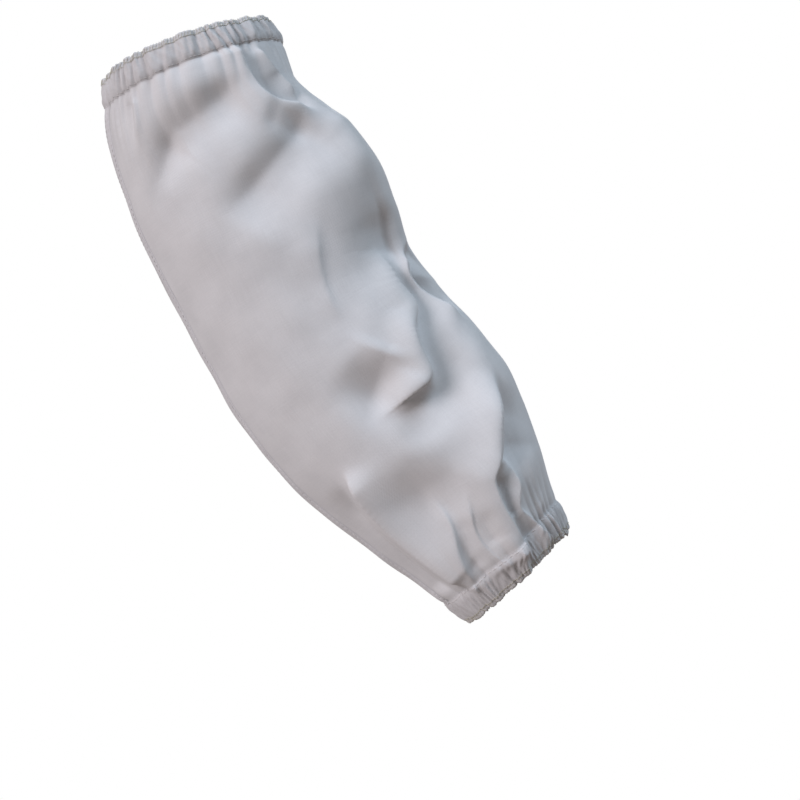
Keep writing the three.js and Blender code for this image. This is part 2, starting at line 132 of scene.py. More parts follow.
# Folds of the cloth. height is in mm, negative in a hollow. ahead and behind are the widths of
# the two flanks: ahead lies to the crook where the route runs down the arm. lean pushes the
# crest over the flank ahead, sharp squares the section, rise and fall are the shares of the
# route over which the fold grows and dies out. front turns the lift from the cloth's own
# direction to the front. A route's points are (along, turn): on the front they were read off
# the photograph, point by point, and turned into shares of the sleeve.
foldRows = [
    # the step under the upper mouth, and the pocket beside it
    ("pocketLip", 5, 3, 14, 0.8, 1.4, 0.12, 0.2, 0,
     [(0.045, 0.334), (0.06, 0.335), (0.084, 0.336), (0.107, 0.34), (0.129, 0.342), (0.15, 0.348),
      (0.168, 0.363), (0.181, 0.386), (0.192, 0.407)]),
    ("pocketCrease", 3.5, 3, 6, 0.6, 1.6, 0.15, 0.3, 0,
     [(0.055, 0.372), (0.095, 0.397), (0.127, 0.41), (0.155, 0.411)]),
    ("pocketHollow", -4.6, 15, 5, 0, 2, 0.5, 0.2, 0.3,
     [(0.09, 0.358), (0.115, 0.357), (0.135, 0.366), (0.152, 0.381), (0.164, 0.401), (0.174, 0.424)]),
    ("underLip", -3, 13, 8, 0, 2, 0.3, 0.4, 0,
     [(0.162, 0.321), (0.187, 0.337), (0.209, 0.352), (0.232, 0.367)]),
    # the upper arm
    ("hookHollow", -6.5, 20, 12, 0, 2, 0.2, 0.3, 0,
     [(0.11, 0.33), (0.12, 0.294), (0.13, 0.258), (0.136, 0.222), (0.14, 0.196), (0.165, 0.168),
      (0.205, 0.136)]),
    ("hookLeg", -3.5, 11, 8, 0, 2, 0.35, 0.6, 0,
     [(0.128, 0.2), (0.15, 0.18), (0.176, 0.155), (0.205, 0.13), (0.25, 0.12)]),
    ("underCasing", 2.5, 12, 12, 0, 2, 0.4, 0.4, 0, [(0.075, 0.2), (0.08, 0.26), (0.08, 0.317)]),
    ("slashHollow", -7.8, 22, 13, 0, 2, 0.3, 0.4, 0,
     [(0.185, 0.395), (0.2, 0.38), (0.215, 0.355), (0.235, 0.318), (0.256, 0.28), (0.272, 0.248),
      (0.284, 0.222), (0.3, 0.2)]),
    ("puffCrest", 3, 12, 14, 0, 2, 0.3, 0.4, 0,
     [(0.19, 0.42), (0.235, 0.429), (0.295, 0.427), (0.36, 0.423)]),
    ("puffUnder", -5, 14, 22, 0, 2, 0.5, 0.3, 0.5,
     [(0.36, 0.42), (0.381, 0.423), (0.418, 0.429), (0.451, 0.429), (0.478, 0.415)]),
    # the big roll that hangs over the crook
    ("plateau", -16, 12, 29, 0, 1.3, 0.55, 0.7, 0.8,
     [(0.28, 0.415), (0.346, 0.41), (0.405, 0.41), (0.466, 0.405), (0.518, 0.385), (0.563, 0.36),
      (0.61, 0.34)]),
    ("plateauEdge", 2, 5, 12, 0.3, 1.6, 0.3, 0.4, 0,
     [(0.345, 0.306), (0.393, 0.289), (0.43, 0.283), (0.478, 0.278), (0.51, 0.278)]),
    ("rollEdge", 4.5, 3.5, 9, 0.8, 2, 0.25, 0.3, 0,
     [(0.431, 0.376), (0.463, 0.383), (0.507, 0.373), (0.539, 0.373), (0.553, 0.366),
      (0.569, 0.348), (0.602, 0.332), (0.63, 0.326), (0.649, 0.32), (0.655, 0.305),
      (0.657, 0.278), (0.661, 0.247), (0.668, 0.231)]),
    ("dentBrow", 5, 24, 7, 0, 1.2, 0.35, 0.65, 0,
     [(0.622, 0.316), (0.602, 0.302), (0.574, 0.289), (0.551, 0.278), (0.525, 0.266)]),
    ("rollDent", -13, 18, 22, 0, 2, 0.5, 0.7, 0.4,
     [(0.671, 0.282), (0.648, 0.267), (0.621, 0.252), (0.591, 0.237), (0.563, 0.228)]),
    ("rollFoot", -10.5, 24, 10, 0, 2, 0.2, 0.35, 0.6,
     [(0.471, 0.408), (0.512, 0.394), (0.551, 0.392), (0.584, 0.37), (0.624, 0.351),
      (0.66, 0.34), (0.684, 0.322), (0.692, 0.292), (0.692, 0.256), (0.692, 0.232)]),
    # the cleft in the crook
    ("crookLip", 3.5, 3, 12, 0.6, 1.6, 0.2, 0.2, 0,
     [(0.454, 0.45), (0.492, 0.416), (0.523, 0.412), (0.567, 0.43), (0.614, 0.45)]),
    ("crookCleft", -12, 24, 3, 0, 2, 0.12, 0.25, 0.8,
     [(0.454, 0.497), (0.49, 0.432), (0.523, 0.426), (0.565, 0.445), (0.612, 0.475)]),
    # the forearm
    ("smile", 0.8, 8, 10, 0, 2, 0.3, 0.3, 0.4,
     [(0.714, 0.223), (0.732, 0.24), (0.745, 0.265), (0.75, 0.295), (0.742, 0.325), (0.72, 0.35)]),
    ("underSmile", -7.5, 20, 28, 0, 2, 0.55, 0.55, 0,
     [(0.796, 0.12), (0.803, 0.159), (0.808, 0.206), (0.812, 0.251), (0.808, 0.291)]),
    ("blueRidge", 8, 5, 13, 0.7, 2, 0.2, 0.05, 0.2,
     [(0.707, 0.412), (0.739, 0.383), (0.773, 0.357), (0.805, 0.335), (0.822, 0.317),
      (0.838, 0.297), (0.864, 0.288), (0.89, 0.284), (0.919, 0.284), (0.949, 0.281),
      (0.973, 0.277)]),
    ("blueHollow", -9.5, 22, 6, 0, 2, 0.4, 0.4, 0.8,
     [(0.723, 0.439), (0.756, 0.406), (0.787, 0.38), (0.812, 0.36), (0.84, 0.348), (0.88, 0.345)]),
    ("leaf", 4.3, 3, 6, 0.7, 1.5, 0.1, 0.05, 0,
     [(0.825, 0.328), (0.85, 0.338), (0.878, 0.342), (0.893, 0.331), (0.912, 0.323), (0.938, 0.335),
      (0.966, 0.346), (0.989, 0.36)]),
    ("leafHollow", -2, 3.5, 3.5, 0, 2, 0.2, 0.15, 0,
     [(0.85, 0.319), (0.875, 0.313), (0.893, 0.307), (0.915, 0.304)]),
    ("rimRidge", 1.5, 3, 5, 0.3, 1.6, 0.3, 0.05, 0,
     [(0.916, 0.416), (0.942, 0.382), (0.97, 0.395), (1.0, 0.404)]),
    ("undersideRidge", 8, 14, 3.5, -0.4, 1.4, 0.3, 0.05, 0.4,
     [(0.695, 0.155), (0.73, 0.149), (0.786, 0.138), (0.857, 0.135), (0.933, 0.149)]),
    ("undersideHollow", -7, 4, 15, 0, 2, 0.4, 0.1, 0.8,
     [(0.702, 0.125), (0.737, 0.117), (0.793, 0.1), (0.864, 0.093), (0.94, 0.101)]),
    ("firstPleat", 3, 3, 8, 0.35, 1.4, 0.25, 0.05, 0,
     [(0.812, 0.214), (0.848, 0.211), (0.872, 0.203), (0.9, 0.189), (0.926, 0.179), (0.961, 0.162)]),
    ("firstHollow", -1.5, 6, 5, 0, 2, 0.3, 0.12, 0,
     [(0.858, 0.228), (0.885, 0.22), (0.912, 0.206), (0.94, 0.194)]),
    ("secondPleat", 2.6, 2.2, 7, 0.5, 1.4, 0.4, 0.05, 0,
     [(0.827, 0.262), (0.855, 0.248), (0.883, 0.234), (0.905, 0.229), (0.928, 0.229), (0.966, 0.233)]),
    ("secondHollow", -1.5, 5, 4, 0, 2, 0.5, 0.12, 0, [(0.87, 0.268), (0.895, 0.256), (0.925, 0.25)]),
    # the back, which falls in soft folds from the crook
    ("backFold", -5, 16, 22, 0, 2, 0.3, 0.6, 0,
     [(0.46, 0.56), (0.475, 0.62), (0.51, 0.69), (0.56, 0.76)]),
    ("backRidge", 2.5, 12, 14, 0, 1.8, 0.4, 0.6, 0,
     [(0.4, 0.6), (0.43, 0.66), (0.45, 0.73), (0.5, 0.79)]),
    ("upperBackFold", -4, 18, 20, 0, 2, 0.4, 0.6, 0,
     [(0.16, 0.6), (0.2, 0.66), (0.27, 0.72), (0.33, 0.75)]),
    ("lowerBackFold", -4, 16, 18, 0, 2, 0.5, 0.2, 0,
     [(0.68, 0.58), (0.76, 0.62), (0.84, 0.65), (0.93, 0.66)]),
    ("lowerBackPleat", 2.5, 5, 9, 0.3, 1.6, 0.4, 0.05, 0,
     [(0.8, 0.76), (0.86, 0.75), (0.92, 0.73), (0.98, 0.74)]),
    # small tucks by the outer side
    ("outerTuck", 1.5, 2.5, 3, 0, 1.6, 0.15, 0.5, 0, [(0.06, 0.15), (0.092, 0.15), (0.145, 0.127)]),
    ("outerTuckHollow", -1.5, 3.5, 4.5, 0, 2, 0.15, 0.5, 0,
     [(0.057, 0.134), (0.093, 0.132), (0.14, 0.115)]),
]


# Points evenly spread in number along a smooth curve through a route's points.
def routeLine(points, steps=48):
    p = np.array(points, float)
    p = np.vstack([2 * p[0] - p[1], p, 2 * p[-1] - p[-2]])
    spans = len(p) - 3
    at = np.linspace(0, spans, steps)
    k = np.minimum(at.astype(int), spans - 1)
    t = (at - k)[:, None]
    a, b, c, d = p[k], p[k + 1], p[k + 2], p[k + 3]
    return 0.5 * (2 * b + (c - a) * t + (2 * a - 5 * b + 4 * c - d) * t**2 + (3 * b - a - 3 * c + d) * t**3)


# How far the folds move each point of the plain sleeve.
def foldMove(points, normals):
    moved = np.zeros_like(points)
    for _, height, ahead, behind, lean, sharp, rise, fall, front, route in foldRows:
        line = routeLine(route)
        spine = plainPoint(line[:, 0], line[:, 1])
        run = np.gradient(spine, axis=0)
        run /= np.linalg.norm(run, axis=1, keepdims=True)
        across = np.cross(plainNormal(line[:, 0], line[:, 1]), run)
        reach = 2.6 * max(ahead, behind)
        near = np.all((points > spine.min(0) - reach) & (points < spine.max(0) + reach), axis=-1)
        here = points[near]
        gap = ((here[:, None, :] - spine[None]) ** 2).sum(-1)
        nearest = gap.min(1)
        weight = np.exp(-(gap - nearest[:, None]) / ((0.25 * max(ahead, behind)) ** 2 + 1))
        weight /= weight.sum(1, keepdims=True)
        share = weight @ np.linspace(0, 1, len(spine))
        sideways = weight @ across
        sideways /= np.maximum(np.linalg.norm(sideways, axis=1, keepdims=True), 1e-6)
        side = ((here - weight @ spine) * sideways).sum(-1)
        width = behind + (ahead - behind) * smoothStep(0.5 + side / (0.5 * (ahead + behind)))
        taper = smoothStep((share + 0.02) / rise) * smoothStep((1.02 - share) / fall)
        lift = height * taper * np.exp(-((np.sqrt(nearest) / width) ** sharp))
        way = normals[near] * (1 - front) + np.array([0, -front, 0])
        moved[near] += way * lift[:, None] + sideways * (lean * lift)[:, None]
    return moved


# Gathers drawn up by the elastic. Each row is count, height in mm, reach in mm, then sways of
# (turns, phase, size) that make the spacing uneven.
gatherForm = {
    "upper": [
        (44, 2.3, 17, [(2, 0.6, 3.0), (5, 2.0, 2.4), (9, 0.0, 1.4)]),
        (19, 1.5, 34, [(2, 0.3, 1.6), (4, 1.0, 1.2)]),
    ],
    "wrist": [
        (34, 1.7, 15, [(2, 1.6, 2.6), (5, 0.4, 2.0), (8, 0.0, 1.3)]),
        (12, 1.5, 30, [(3, 0.3, 1.3), (4, 2.0, 0.9)]),
    ],
}


# Rounded ridges between sharp creases, from about -0.5 to 0.4.
def gatherRidge(turn, count, sways):
    sway = sum(size * np.sin(2 * np.pi * turns * turn + phase) for turns, phase, size in sways)
    return np.sqrt(np.cos(np.pi * count * turn + sway / 2) ** 2 + 0.02) - 0.64


def gatherLift(along, turn):
    belowUpper = np.clip(along * sleeveLength - sleeveForm["upperCasingWidth"], 0, None)
    aboveWrist = np.clip((1 - along) * sleeveLength - sleeveForm["wristCasingWidth"], 0, None)
    lift = np.zeros_like(along * turn)
    for end, distance in (("upper", belowUpper), ("wrist", aboveWrist)):
        for count, height, reach, sways in gatherForm[end]:
            lift += height * np.exp(-distance / reach) * gatherRidge(turn, count, sways)
    pull = np.exp(-((belowUpper / 3) ** 2)) + np.exp(-((aboveWrist / 3) ** 2))
    return lift - sleeveForm["stitchPull"] * pull


# The low unevenness of cotton that has been worn, in mm.
def restlessLift(points):
    x, y, z = points[..., 0], points[..., 1], points[..., 2]
    return (
        0.40 * np.sin(x / 11 + 1.1 * np.sin(z / 23)) * np.sin(z / 14 + y / 17)
        + 0.28 * np.sin(z / 8.5 + 1.4 * np.sin(x / 13 + y / 19)) * np.sin(x / 9 - z / 21)
        + 0.45 * np.sin(z / 29 + x / 37 + 0.7) * np.sin(y / 25 + x / 31)
    )


# The outer face of the cloth.
def clothPoint(along, turn):
    points, normals = plainPoint(along, turn), plainNormal(along, turn)
    lift = gatherLift(along, turn) + restlessLift(points)
    return points + foldMove(points, normals) + normals * lift[..., None]


# Outward directions over a grid whose columns close around the sleeve.
def gridNormals(grid):
    down = np.gradient(grid, axis=0)
    around = np.roll(grid, -1, 1) - np.roll(grid, 1, 1)
    out = np.cross(down, around)
    return out / np.linalg.norm(out, axis=-1, keepdims=True)


# An object from points in mm. maps gives each point its place on the cloth, in mm.
def makePiece(name, points, faces, material, maps):
    mesh = bpy.data.meshes.new(name)
    mesh.from_pydata((np.asarray(points).reshape(-1, 3) / 1000).tolist(), [], faces)
    mesh.polygons.foreach_set("use_smooth", [True] * len(mesh.polygons))
    layer = mesh.uv_layers.new(name="clothPlace")
    corners = np.empty(len(mesh.loops), int)
    mesh.loops.foreach_get("vertex_index", corners)
    layer.data.foreach_set("uv", np.asarray(maps, float).reshape(-1, 2)[corners].ravel())
    mesh.materials.append(material)
    mesh.update()
    piece = bpy.data.objects.new(name, mesh)
    bpy.context.scene.collection.objects.link(piece)
    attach(piece, "root")
    print(name, len(mesh.polygons), "faces")
    return piece


# Materials.
def addGroup(name, inputs, outputs):
    group = bpy.data.node_groups.new(name, "ShaderNodeTree")
    for label, kind, value in inputs:
        socket = group.interface.new_socket(name=label, in_out="INPUT", socket_type=kind)
        if value is not None:
            socket.default_value = value
    for label, kind in outputs:
        group.interface.new_socket(name=label, in_out="OUTPUT", socket_type=kind)
    return group, group.nodes.new("NodeGroupInput"), group.nodes.new("NodeGroupOutput")


def addNode(tree, kind, **settings):
    node = tree.nodes.new(kind)
    for key, value in settings.items():
        setattr(node, key, value)
    return node


def addMath(tree, operation, first, second=None):
    node = addNode(tree, "ShaderNodeMath", operation=operation)
    for socket, value in zip(node.inputs, (first, second)):
        if isinstance(value, (int, float)):
            socket.default_value = value
        elif value is not None:
            tree.links.new(value, socket)
    return node.outputs[0]


def addNoise(tree, place, scale, detail=2.0, rough=0.5):
    noise = addNode(tree, "ShaderNodeTexNoise")
    noise.inputs["Scale"].default_value = scale
    noise.inputs["Detail"].default_value = detail
    noise.inputs["Roughness"].default_value = rough
    tree.links.new(place, noise.inputs["Vector"])
    return noise.outputs["Fac"]


def addColourMix(tree, first, second, factor):
    mix = addNode(tree, "ShaderNodeMix", data_type="RGBA")
    mix.inputs["A"].default_value = (*first, 1)
    mix.inputs["B"].default_value = (*second, 1)
    tree.links.new(factor, mix.inputs["Factor"])
    return mix.outputs["Result"]


# A plain weave with uneven threads. Its place comes in millimetres on the cloth.
def makeWeaveGroup():
    group, ins, outs = addGroup(
        "cottonWeave",
        [("Place", "NodeSocketVector", None), ("Thread Pitch", "NodeSocketFloat", 0.6)],
        [("Height", "NodeSocketFloat"), ("Thread Shade", "NodeSocketFloat")],
    )
    parts = addNode(group, "ShaderNodeSeparateXYZ")
    group.links.new(ins.outputs["Place"], parts.inputs[0])
    turnRate = addMath(group, "DIVIDE", math.pi, ins.outputs["Thread Pitch"])
    waves = [
        addMath(group, "SINE", addMath(group, "MULTIPLY", parts.outputs[i], turnRate)) for i in (0, 1)
    ]
    crossing = addMath(group, "MULTIPLY", waves[0], waves[1])
    slubs = []
    for stretch in ((0.05, 1.6, 1), (1.6, 0.05, 1)):
        longer = addNode(group, "ShaderNodeVectorMath", operation="MULTIPLY")
        longer.inputs[1].default_value = stretch
        group.links.new(ins.outputs["Place"], longer.inputs[0])
        slubs.append(addNoise(group, longer.outputs[0], 0.8, 2))
    slub = addMath(group, "ADD", slubs[0], slubs[1])
    height = addMath(group, "ADD", addMath(group, "MULTIPLY", crossing, 0.35), slub)
    group.links.new(height, outs.inputs["Height"])
    group.links.new(addMath(group, "MULTIPLY", slub, 0.5), outs.inputs["Thread Shade"])
    return group


# Soft unevenness of the dye, in large patches and in small flecks.
def makeMottleGroup():
    group, ins, outs = addGroup(
        "dyeMottle",
        [("Place", "NodeSocketVector", None), ("Patch Size", "NodeSocketFloat", 40.0)],
        [("Patches", "NodeSocketFloat"), ("Flecks", "NodeSocketFloat")],
    )
    rate = addMath(group, "DIVIDE", 1.0, ins.outputs["Patch Size"])
    scaled = addNode(group, "ShaderNodeVectorMath", operation="SCALE")
    group.links.new(ins.outputs["Place"], scaled.inputs[0])
    group.links.new(rate, scaled.inputs["Scale"])
    group.links.new(addNoise(group, scaled.outputs[0], 1.0, 3), outs.inputs["Patches"])
    group.links.new(addNoise(group, scaled.outputs[0], 22.0, 2, 0.6), outs.inputs["Flecks"])
    return group


weaveGroup = makeWeaveGroup()
mottleGroup = makeMottleGroup()

clothFinish = {
    "threadPitch": 0.62,  # mm
    "patchSize": 24.0,  # mm
    "patchShare": 0.7,
    "fleckShare": 0.35,
    "threadShare": 0.5,
    "toneRange": (0.5, 0.95),
    "weaveDepth": 0.0002,  # m
    "light": (0.535, 0.53, 0.54),
    "dark": (0.455, 0.452, 0.462),
    "casingLight": (0.49, 0.483, 0.49),
    "casingDark": (0.40, 0.39, 0.40),
    "seamLight": (0.52, 0.515, 0.53),
    "seamDark": (0.43, 0.425, 0.44),
    "threadTones": [(0.46, 0.42, 0.36), (0.42, 0.40, 0.44), (0.54, 0.52, 0.52), (0.45, 0.43, 0.36)],
    "stitchTones": [(0.50, 0.48, 0.46), (0.46, 0.44, 0.46), (0.56, 0.54, 0.54)],
}


# The place on the cloth in mm, from the map that each piece carries.
def addClothPlace(tree):
    place = addNode(tree, "ShaderNodeUVMap", uv_map="clothPlace")
    return place.outputs[0]


def makeClothMaterial(name, light, dark, rough, bump):
    material = bpy.data.materials.new(name)
    material.use_nodes = True
    tree = material.node_tree
    shader = tree.nodes["Principled BSDF"]
    place = addClothPlace(tree)
    weave = addNode(tree, "ShaderNodeGroup", node_tree=weaveGroup)
    mottle = addNode(tree, "ShaderNodeGroup", node_tree=mottleGroup)
    weave.inputs["Thread Pitch"].default_value = clothFinish["threadPitch"]
    mottle.inputs["Patch Size"].default_value = clothFinish["patchSize"]
    for node in (weave, mottle):
        tree.links.new(place, node.inputs["Place"])
    patches = addMath(tree, "MULTIPLY", mottle.outputs["Patches"], clothFinish["patchShare"])
    flecks = addMath(tree, "MULTIPLY", mottle.outputs["Flecks"], clothFinish["fleckShare"])
    threads = addMath(tree, "MULTIPLY", weave.outputs["Thread Shade"], clothFinish["threadShare"])
    tone = addMath(tree, "ADD", patches, addMath(tree, "ADD", flecks, threads))
    spread = addNode(tree, "ShaderNodeMapRange")
    low, high = clothFinish["toneRange"]
    spread.inputs["From Min"].default_value = low
    spread.inputs["From Max"].default_value = high
    tree.links.new(tone, spread.inputs["Value"])
    colour = addColourMix(tree, dark, light, spread.outputs["Result"])
    tree.links.new(colour, shader.inputs["Base Color"])
    roughRange = addNode(tree, "ShaderNodeMapRange")
    roughRange.inputs["To Min"].default_value = rough - 0.05
    roughRange.inputs["To Max"].default_value = min(rough + 0.06, 1)
    tree.links.new(mottle.outputs["Flecks"], roughRange.inputs["Value"])
    tree.links.new(roughRange.outputs["Result"], shader.inputs["Roughness"])
    relief = addNode(tree, "ShaderNodeBump")
    relief.inputs["Strength"].default_value = bump
    relief.inputs["Distance"].default_value = clothFinish["weaveDepth"]
    tree.links.new(weave.outputs["Height"], relief.inputs["Height"])
    tree.links.new(relief.outputs["Normal"], shader.inputs["Normal"])
    shader.inputs["Specular IOR Level"].default_value = 0.2
    shader.inputs["Sheen Weight"].default_value = 0.2
    shader.inputs["Sheen Roughness"].default_value = 0.5
    return material


# Sewing thread whose tone changes from stitch to stitch.
def makeThreadMaterial(name, tones, rate):
    material = bpy.data.materials.new(name)
    material.use_nodes = True
    tree = material.node_tree
    shader = tree.nodes["Principled BSDF"]
    place = addClothPlace(tree)
    tone = addNoise(tree, place, rate, 1)
    ramp = addNode(tree, "ShaderNodeValToRGB")
    stops = ramp.color_ramp.elements
    for i, colour in enumerate(tones):
        stop = stops[i] if i < 2 else stops.new(0)
        stop.position = 0.32 + 0.36 * i / (len(tones) - 1)
        stop.color = (*colour, 1)
    tree.links.new(tone, ramp.inputs["Fac"])
    tree.links.new(ramp.outputs["Color"], shader.inputs["Base Color"])
    twist = addNode(tree, "ShaderNodeTexWave", bands_direction="DIAGONAL")
    twist.inputs["Scale"].default_value = 1.6
    tree.links.new(place, twist.inputs["Vector"])
    relief = addNode(tree, "ShaderNodeBump")
    relief.inputs["Strength"].default_value = 0.4
    relief.inputs["Distance"].default_value = 0.0001
    tree.links.new(twist.outputs["Fac"], relief.inputs["Height"])
    tree.links.new(relief.outputs["Normal"], shader.inputs["Normal"])
    shader.inputs["Roughness"].default_value = 0.75
    shader.inputs["Specular IOR Level"].default_value = 0.3
    shader.inputs["Sheen Weight"].default_value = 0.15
    return material


sleeveCotton = makeClothMaterial("sleeveCotton", clothFinish["light"], clothFinish["dark"], 0.9, 0.35)
casingCotton = makeClothMaterial(
    "casingCotton", clothFinish["casingLight"], clothFinish["casingDark"], 0.92, 0.5
)
seamCotton = makeClothMaterial("seamCotton", clothFinish["seamLight"], clothFinish["seamDark"], 0.92, 0.4)
overlockThread = makeThreadMaterial("overlockThread", clothFinish["threadTones"], 0.35)
stitchThread = makeThreadMaterial("stitchThread", clothFinish["stitchTones"], 0.3)
print("materials made")

# The tube of cloth, one closed sheet: a fine outer face and an inner face half as fine.
clothMesh = {
    "rows": 261,  # odd, so that the inner face has a row at both ends
    "frontColumns": 218,
    "backColumns": 82,
    "tuckUnderCasing": 3.0,  # mm that the cloth runs on into each casing
}


def ringQuads(rings, columns, closed=True):
    faces = []
    for r in range(rings - 1):
        near, far = r * columns, (r + 1) * columns
        for c in range(columns if closed else columns - 1):
            after = (c + 1) % columns
            faces.append((near + c, far + c, far + after, near + after))
    return faces


def makeCloth():
    rows, tuck = clothMesh["rows"], clothMesh["tuckUnderCasing"]
    start = (sleeveForm["upperCasingWidth"] - tuck) / sleeveLength
    end = 1 - (sleeveForm["wristCasingWidth"] - tuck) / sleeveLength
    along = np.linspace(start, end, rows)[:, None]
    turn = np.concatenate([
        np.linspace(0, 0.5, clothMesh["frontColumns"], endpoint=False),
        np.linspace(0.5, 1, clothMesh["backColumns"], endpoint=False),
    ])[None, :]
    columns = turn.shape[1]
    outer = clothPoint(along, turn)
    inner = (outer - sleeveForm["clothThickness"] * gridNormals(outer))[::2, ::2]
    innerRows, innerColumns = inner.shape[:2]
    faces = [tuple(reversed(f)) for f in ringQuads(rows, columns)]
    base = rows * columns
    faces += [tuple(base + i for i in f) for f in ringQuads(innerRows, innerColumns)]
    for outerRow, innerRow, flip in ((0, 0, False), (rows - 1, innerRows - 1, True)):
        for c in range(innerColumns):
            o = [outerRow * columns + (2 * c + k) % columns for k in range(3)]
            i = [base + innerRow * innerColumns + (c + k) % innerColumns for k in range(2)]
            face = (o[0], o[1], o[2], i[1], i[0])
            faces.append(tuple(reversed(face)) if flip else face)
    maps = np.stack(np.broadcast_arrays(turn * clothGirth, along * sleeveLength), -1)
    points = np.vstack([outer.reshape(-1, 3), inner.reshape(-1, 3)])
    mapped = np.vstack([maps.reshape(-1, 2), maps[::2, ::2].reshape(-1, 2)])
    return makePiece("sleeve_cloth", points, faces, sleeveCotton, mapped)


sleeveCloth = makeCloth()
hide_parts("sleeve_panel")
print("cloth made")

# The casings: cloth doubled over elastic, gathered, with an overlocked edge at the mouth.
casingForm = {
    "thickness": 3.0,
    "hem": 2.0,
    "columns": 960,
    "rows": 26,
    "edgeScallop": 0.35,  # mm, how far the gathers wave the mouth's edge
    "creaseSlant": 1.0,  # how far the creases wander across the casing
    "roundFrom": 0.93,  # the share of the width at which the mouth's edge starts to round over
    "insideShare": 0.45,  # how much of the gathers shows inside
    "upperGirth": 0.72,  # of the girth of the cloth
    "wristGirth": 0.55,
    "foldShare": 0.85,  # how much of the sleeve's folds is left at a mouth
    "ridgeShare": 1.0,
    "pucker": 0.5,
    "flow": 0.3,  # the share of the width over which the sleeve's gathers turn into the casing's
    # corners of cloth that stand out of the mouth's edge: turn, width in turns, mm, squareness
    "upperTab": (0.455, 0.012, 2.0, 6),
    "wristTab": (0.452, 0.008, 3.0, 1.2),
}


# Half the section of a casing: 0 at the stitching, 1 at the mouth. side is 1 outside.
def casingHeight(across, side):
    full, hem = casingForm["thickness"] / 2, casingForm["hem"] / 2
    swell = np.sin(np.pi * np.clip((across - 0.02) / 0.84, 0, 1)) ** 0.6
    roundFrom = casingForm["roundFrom"]
    edge = hem * np.sqrt(np.clip(1 - np.clip((across - roundFrom) / (1 - roundFrom), 0, 1) ** 2, 0, 1))
    start = hem * (0.25 + 0.75 * smoothStep(across / casingForm["flow"]))
    return side * (np.where(across < roundFrom, start, edge) + (full - hem) * swell)


def casingGathers(end, across, turn):
    flow = smoothStep(across / casingForm["flow"])
    wander = casingForm["creaseSlant"] * across
    fine = turn + wander * (0.006 * np.sin(2 * np.pi * 7 * turn) + 0.004 * np.sin(2 * np.pi * 17 * turn))
    uneven = 0.35 * np.sin(2 * np.pi * (3 * turn + 0.2 * across)) * np.sin(2 * np.pi * 5 * turn + 1)
    size = 1 + flow * ((1 + uneven) * casingForm["ridgeShare"] - 1)
    lift = 0
    for count, height, _, sways in gatherForm[end]:
        lift = lift + height * size * gatherRidge(fine, count, sways)
    tiny = gatherRidge(fine + 0.004 * across, 67, [(6, 0.4, 2.6), (11, 1.2, 1.8)])
    around = 2 * np.pi * turn
    puckers = np.sin(83 * around + 3 * np.sin(7 * around) + 4 * across)
    puckers = puckers * np.sin(9 * across + 3 * np.sin(11 * around))
    return lift + casingForm["pucker"] * (tiny + 0.6 * puckers) * flow


# A point of a casing's faces. across runs from the stitching to the mouth.
def casingPoint(end, across, turn, side):
    width = sleeveForm[end + "CasingWidth"] / sleeveLength
    tabTurn, tabWidth, tabHeight, tabSquareness = casingForm[end + "Tab"]
    scallop = casingForm["edgeScallop"] * casingGathers(end, across, turn)
    scallop = scallop + tabHeight * np.exp(-(np.abs((turn - tabTurn) / tabWidth) ** tabSquareness))
    scallop = scallop * smoothStep((across - 0.6) / 0.4)
    along = width * (1 - across) - scallop / sleeveLength
    along = along if end == "upper" else 1 - along
    pull = sleeveForm["stitchPull"] * (1 - smoothStep(across / 0.15))
    gathers = casingGathers(end, across, turn) * (1 if side > 0 else casingForm["insideShare"])
    lift = casingHeight(across, side) - pull + gathers
    onSleeve = np.clip(along, 0, 1)
    beyond = (along - onSleeve) * sleeveLength
    points, normals = plainPoint(onSleeve, turn), plainNormal(onSleeve, turn)
    lift = lift + restlessLift(points)
    share = (1 - (1 - casingForm["foldShare"]) * smoothStep(across)) * (1 if side > 0 else 0.5)
    points = points + foldMove(points, normals) * share[..., None] + normals * lift[..., None]
    points[..., 2] -= beyond
    return points


def makeCasing(name, end):
    rows, columns = casingForm["rows"], casingForm["columns"]
    turn = np.linspace(0, 1, columns, endpoint=False)[None, :]
    across = (0.5 - 0.5 * np.cos(np.linspace(0, math.pi, rows)))[:, None]
    outside = casingPoint(end, across, turn + 0 * across, 1)
    inside = casingPoint(end, across, turn + 0 * across, -1)[::-1]
    points = np.vstack([outside, inside])
    faces = ringQuads(2 * rows, columns)
    last = (2 * rows - 1) * columns
    faces += [(last + c, c, (c + 1) % columns, last + (c + 1) % columns) for c in range(columns)]
    if end == "wrist":
        faces = [tuple(reversed(f)) for f in faces]
    girth = clothGirth * casingForm[end + "Girth"]
    width = sleeveForm[end + "CasingWidth"]
    lap = np.concatenate([across * width, (2 * width - across * width)[::-1]])
    maps = np.stack(np.broadcast_arrays(turn * girth, lap), -1)
    return makePiece(name, points, faces, casingCotton, maps)


upperCasing = makeCasing("upper_casing_cloth", "upper")
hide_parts("upper_casing")
wristCasing = makeCasing("wrist_casing_cloth", "wrist")
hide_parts("wrist_casing")
print("casings made")


